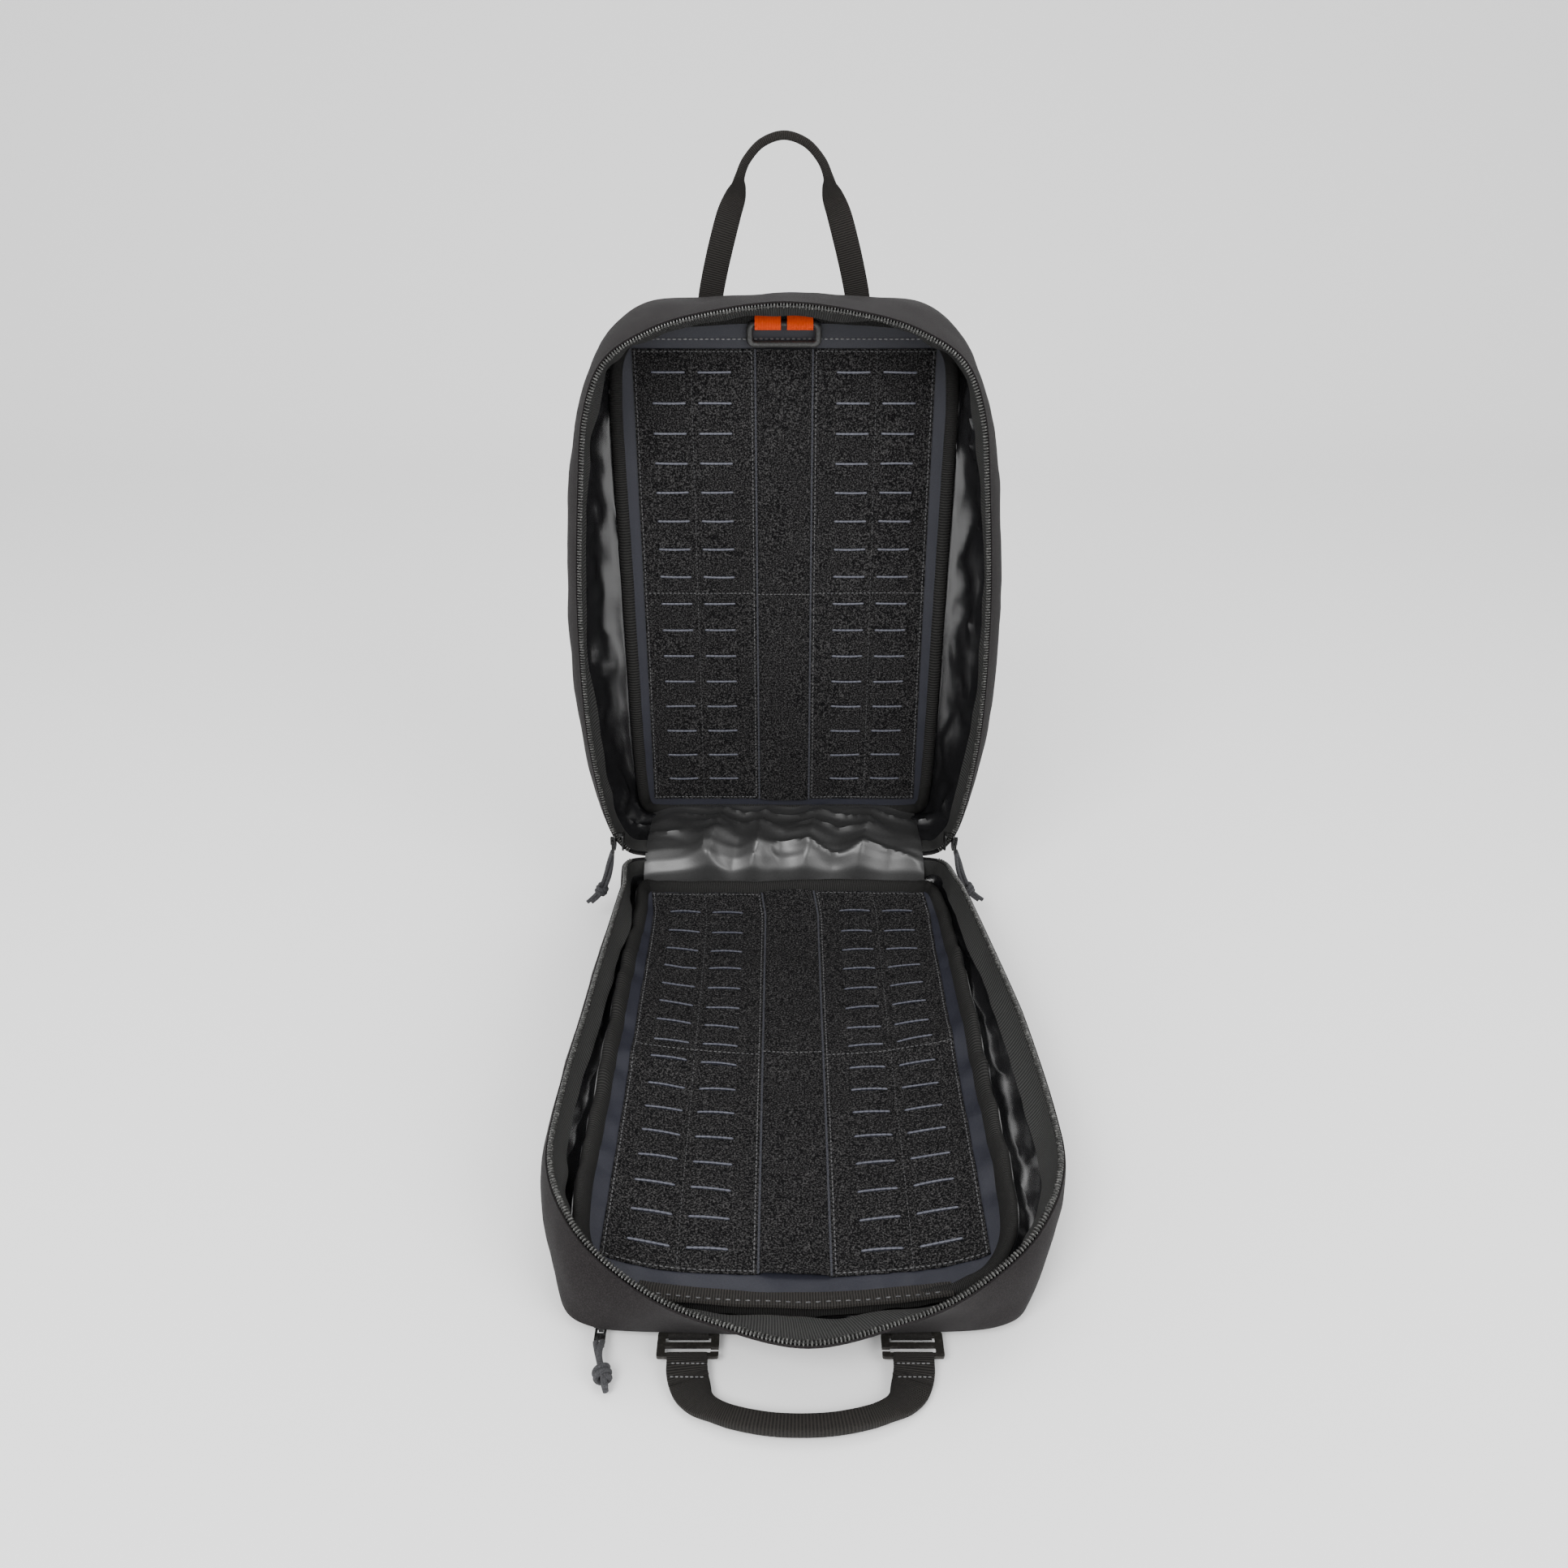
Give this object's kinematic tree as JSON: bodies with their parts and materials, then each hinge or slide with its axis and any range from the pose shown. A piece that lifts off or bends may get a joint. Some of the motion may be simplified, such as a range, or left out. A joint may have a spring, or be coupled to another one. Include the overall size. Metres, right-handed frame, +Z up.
{
  "type": "trauma backpack",
  "caption": "Clamshell medical backpack that zips open into two shells with slotted loop panels, hang ring, carry handles and shoulder straps.",
  "frame": {"origin": "centre of the outer pocket face that the front half lies on", "axes": "+Z up out of the front half, +Y from the front half towards the standing rear half, +X across the pack"},
  "size_m": [0.3706, 0.6578, 0.6638],
  "materials": {
    "binding_tape": "matte",
    "black_webbing": "matte",
    "buckle_metal": "satin",
    "buckle_plastic": "satin",
    "foam": "matte",
    "frame_plastic": "matte",
    "gusset_cloth": "satin",
    "lining_cloth": "satin",
    "loop_pile": "matte",
    "orange_webbing": "matte",
    "pull_cord": "matte",
    "ring_plastic": "satin",
    "shell_cloth": "matte",
    "slider_metal": "satin",
    "zip_coil": "satin",
    "zip_tape": "matte"
  },
  "bodies": {
    "front_half": {"front_face_wall": "shell_cloth", "front_stiffener": "foam", "front_side_walls": "shell_cloth", "front_top_wall": "shell_cloth", "front_bottom_wall": "shell_cloth", "front_liner_panel": "lining_cloth", "front_loop_fields": "loop_pile", "front_loop_strip": "loop_pile", "front_seam_binding": "binding_tape", "front_zip_tape": "zip_tape", "front_zip_teeth": "zip_coil", "front_webbing_band": "binding_tape", "front_pocket": "shell_cloth", "pocket_zip": "zip_tape", "hook_anchors": "black_webbing"},
    "rear_half": {"back_wall": "shell_cloth", "back_foam": "foam", "frame_sheet": "frame_plastic", "rear_side_walls": "shell_cloth", "rear_top_wall": "shell_cloth", "rear_bottom_wall": "shell_cloth", "rear_liner_panel": "lining_cloth", "rear_loop_fields": "loop_pile", "rear_loop_strip": "loop_pile", "rear_seam_binding": "binding_tape", "rear_zip_tape": "zip_tape", "rear_zip_teeth": "zip_coil", "hang_loops": "orange_webbing", "handle_patches": "black_webbing", "back_pads": "foam", "strap_yoke": "shell_cloth", "lower_anchors": "black_webbing", "bottom_gusset": "gusset_cloth"},
    "slider_left": {"zip_slider_left": "slider_metal"},
    "slider_right": {"zip_slider_right": "slider_metal"},
    "pull_left": {"zip_pull_left_tab": "slider_metal", "zip_pull_left_cord_a": "pull_cord", "zip_pull_left_cord_b": "pull_cord", "zip_pull_left_knot": "pull_cord"},
    "pull_right": {"zip_pull_right_tab": "slider_metal", "zip_pull_right_cord_a": "pull_cord", "zip_pull_right_cord_b": "pull_cord", "zip_pull_right_knot": "pull_cord"},
    "pocket_runner": {"pocket_slider": "slider_metal"},
    "pocket_pull": {"pocket_pull_tab": "slider_metal", "pocket_pull_cord_a": "pull_cord", "pocket_pull_cord_b": "pull_cord", "pocket_pull_knot": "pull_cord"},
    "hang_ring": {"hang_ring": "ring_plastic"},
    "top_handle": {"top_handle": "black_webbing"},
    "front_handle": {"front_handle": "black_webbing", "hook_buckles": "buckle_metal"},
    "strap_left": {"shoulder_pad_left": "shell_cloth", "ladder_lock_left": "buckle_plastic", "lower_webbing_left": "black_webbing"},
    "strap_right": {"shoulder_pad_right": "shell_cloth", "ladder_lock_right": "buckle_plastic", "lower_webbing_right": "black_webbing"},
    "sternum_left": {"sternum_strap_left": "buckle_plastic"},
    "sternum_right": {"sternum_strap_right": "buckle_plastic"}
  },
  "joints": [
    {"name": "clamshell_fold", "type": "hinge", "parent": "front_half", "child": "rear_half", "pos_m": [0, 0.24, 0.068], "axis": [1, 0, 0], "range_deg": [-90, 90], "deforming": ["bottom_gusset"]},
    {"name": "zip_left", "type": "slide", "parent": "rear_half", "child": "slider_left", "axis": [-0.0297, 0, 0.9996], "range_m": [0, 0.34]},
    {"name": "zip_right", "type": "slide", "parent": "rear_half", "child": "slider_right", "axis": [0.0297, 0, 0.9996], "range_m": [0, 0.34]},
    {"name": "pull_left_swing", "type": "hinge", "parent": "slider_left", "child": "pull_left", "pos_m": [-0.15716, 0.24, 0.084], "axis": [0, 1, 0], "range_deg": [-3, 120]},
    {"name": "pull_right_swing", "type": "hinge", "parent": "slider_right", "child": "pull_right", "pos_m": [0.15716, 0.24, 0.084], "axis": [0, -1, 0], "range_deg": [-3, 120]},
    {"name": "pocket_zip_slide", "type": "slide", "parent": "front_half", "child": "pocket_runner", "axis": [1, 0, 0], "range_m": [0, 0.018]},
    {"name": "pocket_pull_swing", "type": "hinge", "parent": "pocket_runner", "child": "pocket_pull", "pos_m": [-0.114, -0.2285, 0.003], "axis": [-1, 0, 0], "range_deg": [0, 30]},
    {"name": "ring_swing", "type": "hinge", "parent": "rear_half", "child": "hang_ring", "pos_m": [0, 0.30545, 0.5255], "axis": [-1, 0, 0], "range_deg": [0, 100]},
    {"name": "top_handle_fold", "type": "hinge", "parent": "rear_half", "child": "top_handle", "pos_m": [0, 0.324, 0.5446], "axis": [-1, 0, 0], "range_deg": [-75, 100]},
    {"name": "front_handle_lift", "type": "hinge", "parent": "front_half", "child": "front_handle", "pos_m": [0, -0.234, 0.003], "axis": [-1, 0, 0], "range_deg": [0, 35]},
    {"name": "strap_left_lift", "type": "hinge", "parent": "rear_half", "child": "strap_left", "pos_m": [0, 0.34, 0.4857], "axis": [1, 0, 0], "range_deg": [0, 22], "deforming": ["lower_webbing_left"]},
    {"name": "sternum_left_slide", "type": "slide", "parent": "strap_left", "child": "sternum_left", "axis": [0, 0, 1], "range_m": [-0.06, 0.06]},
    {"name": "strap_right_lift", "type": "hinge", "parent": "rear_half", "child": "strap_right", "pos_m": [0, 0.34, 0.4857], "axis": [1, 0, 0], "range_deg": [0, 22], "deforming": ["lower_webbing_right"]},
    {"name": "sternum_right_slide", "type": "slide", "parent": "strap_right", "child": "sternum_right", "axis": [0, 0, 1], "range_m": [-0.06, 0.06]}
  ]
}
